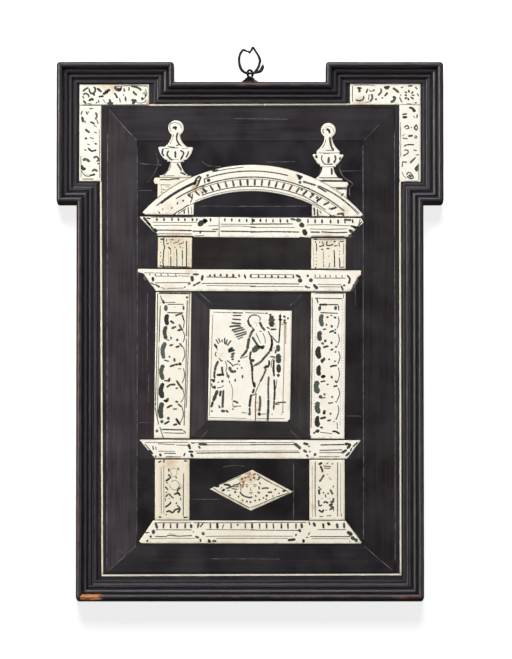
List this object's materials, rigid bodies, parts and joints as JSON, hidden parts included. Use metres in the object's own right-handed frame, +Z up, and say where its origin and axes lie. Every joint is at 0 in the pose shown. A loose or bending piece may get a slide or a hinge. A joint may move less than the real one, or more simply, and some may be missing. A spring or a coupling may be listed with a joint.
{
  "type": "bone inlaid ebony panel",
  "caption": "Flat wall panel with an eared, moulded ebony frame, a small temple front of engraved bone let into its ground, and an iron loop to hang it by.",
  "frame": {"origin": "hanging point: the spot on the wall behind the bar across the top of the iron loop", "axes": "+Z up, +X to the viewer's right, -Y out of the wall towards the viewer; the wall is the plane y = 0"},
  "size_m": [0.2876, 0.0216, 0.4141],
  "materials": {
    "ebony": "polished black ebony veneer, faint grain and hairline cracks",
    "moulding_ebony": "black polished moulding, worn brown on its beads",
    "bone": "polished bone, engraved lines filled with black-green ink",
    "iron": "hand-forged, blackened",
    "backboard_wood": "plain sawn and planed board, dark with age"
  },
  "bodies": {
    "root": {"ebony_ground": "ebony", "ebony_band_bottom": "ebony", "ebony_band_right": "ebony", "ebony_band_top": "ebony", "ebony_band_left": "ebony", "plaque_frame_bottom": "ebony", "plaque_frame_right": "ebony", "plaque_frame_top": "ebony", "plaque_frame_left": "ebony", "moulding_right": "moulding_ebony", "moulding_ear_foot_right": "moulding_ebony", "moulding_ear_side_right": "moulding_ebony", "moulding_ear_top_right": "moulding_ebony", "moulding_ear_return_right": "moulding_ebony", "moulding_top_middle": "moulding_ebony", "moulding_ear_return_left": "moulding_ebony", "moulding_ear_top_left": "moulding_ebony", "moulding_ear_side_left": "moulding_ebony", "moulding_ear_foot_left": "moulding_ebony", "moulding_left": "moulding_ebony", "moulding_bottom": "moulding_ebony", "stringing_left": "bone", "stringing_right": "bone", "stringing_bottom": "bone", "stringing_top_left": "bone", "stringing_top_right": "bone", "ear_plate_top_right": "bone", "ear_plate_side_right": "bone", "ear_plate_top_left": "bone", "ear_plate_side_left": "bone", "arch": "bone", "urn_pedestal_right": "bone", "urn_pedestal_left": "bone", "pedestal_foot_right": "bone", "pedestal_foot_left": "bone", "urn_left": "bone", "urn_right": "bone", "cornice_left": "bone", "cornice_right": "bone", "architrave": "bone", "dado_cornice": "bone", "plinth": "bone", "frieze_block_left": "bone", "frieze_block_right": "bone", "column_left": "bone", "column_right": "bone", "dado_panel_left": "bone", "dado_panel_right": "bone", "lozenge": "bone", "plaque": "bone", "hanging_ring": "iron", "screw_eye": "iron", "backboard": "backboard_wood"}
  },
  "joints": []
}
